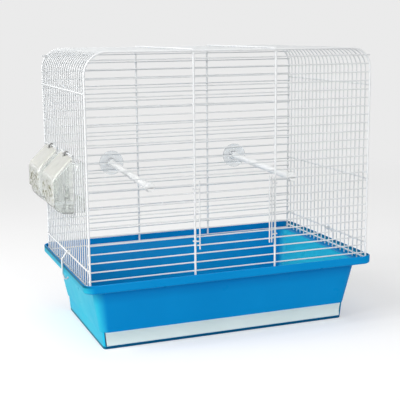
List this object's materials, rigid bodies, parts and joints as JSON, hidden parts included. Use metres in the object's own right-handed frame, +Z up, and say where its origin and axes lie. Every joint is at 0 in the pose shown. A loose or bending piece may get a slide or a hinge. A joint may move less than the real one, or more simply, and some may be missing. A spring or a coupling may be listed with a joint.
{
  "type": "bird cage",
  "caption": "Small wire bird cage on a moulded tray, with a hinged front door, two hooded feeders on one end, perches, clips and a pull-out litter drawer.",
  "frame": {"origin": "on the surface that the tray stands on, under the middle of the tray", "axes": "+X along the long side away from the feeder, +Y to the back, away from the door, +Z up"},
  "size_m": [0.4598, 0.273, 0.4061],
  "materials": {
    "coated_wire": "white powder coat, semi-gloss",
    "tray_plastic": "moulded blue plastic, satin gloss",
    "drawer_plastic": "moulded pale grey plastic, satin",
    "hood_plastic": "translucent milky plastic, glossy",
    "cup_plastic": "translucent grey-green plastic, glossy",
    "guard_plastic": "clear plastic, glossy",
    "perch_plastic": "moulded white plastic, satin",
    "shield_plastic": "translucent grey plastic, satin"
  },
  "bodies": {
    "cage": {"base": "tray_plastic", "front_frame": "coated_wire", "back_frame": "coated_wire", "front_bars": "coated_wire", "back_bars": "coated_wire", "front_sill": "coated_wire", "back_sill": "coated_wire", "front_posts": "coated_wire", "back_posts": "coated_wire", "arch_bars": "coated_wire", "feeder_arch_bars": "coated_wire", "feeder_stub_bars": "coated_wire", "left_cross_wires": "coated_wire", "right_cross_wires": "coated_wire", "roof_cross_wires": "coated_wire", "feeder_opening_wires": "coated_wire", "feeder_cup": "cup_plastic", "feeder_guard": "guard_plastic", "back_feeder_cup": "cup_plastic", "back_feeder_guard": "guard_plastic", "perch_left": "perch_plastic", "perch_right": "perch_plastic", "perch_shield_left": "shield_plastic", "perch_shield_right": "shield_plastic"},
    "drawer": {"litter_drawer": "drawer_plastic"},
    "door": {"door_bars": "coated_wire", "door_posts": "coated_wire", "door_hinge_loops": "coated_wire", "door_catches": "coated_wire"},
    "hood": {"feeder_hood": "hood_plastic"},
    "back_hood": {"back_feeder_hood": "hood_plastic"},
    "left_clip": {"clip_left": "coated_wire"},
    "right_clip": {"clip_right": "coated_wire"}
  },
  "joints": [
    {"name": "drawer_slide", "type": "slide", "parent": "cage", "child": "drawer", "axis": [0, -1, 0], "range_m": [0, 0.18]},
    {"name": "door_hinge", "type": "hinge", "parent": "cage", "child": "door", "pos_m": [-0.06, -0.128, 0.183], "axis": [0, 0, -1], "range_deg": [0, 155]},
    {"name": "hood_hinge", "type": "hinge", "parent": "cage", "child": "hood", "pos_m": [-0.21002, -0.02438, 0.2637], "axis": [0, 1, 0], "range_deg": [0, 100]},
    {"name": "back_hood_hinge", "type": "hinge", "parent": "cage", "child": "back_hood", "pos_m": [-0.21002, 0.07314, 0.2637], "axis": [0, 1, 0], "range_deg": [0, 100]},
    {"name": "left_clip_hinge", "type": "hinge", "parent": "cage", "child": "left_clip", "pos_m": [-0.21002, -0.01219, 0.1195], "axis": [0, 1, 0], "range_deg": [0, 110]},
    {"name": "right_clip_hinge", "type": "hinge", "parent": "cage", "child": "right_clip", "pos_m": [0.21002, -0.01219, 0.1195], "axis": [0, -1, 0], "range_deg": [0, 110]}
  ]
}
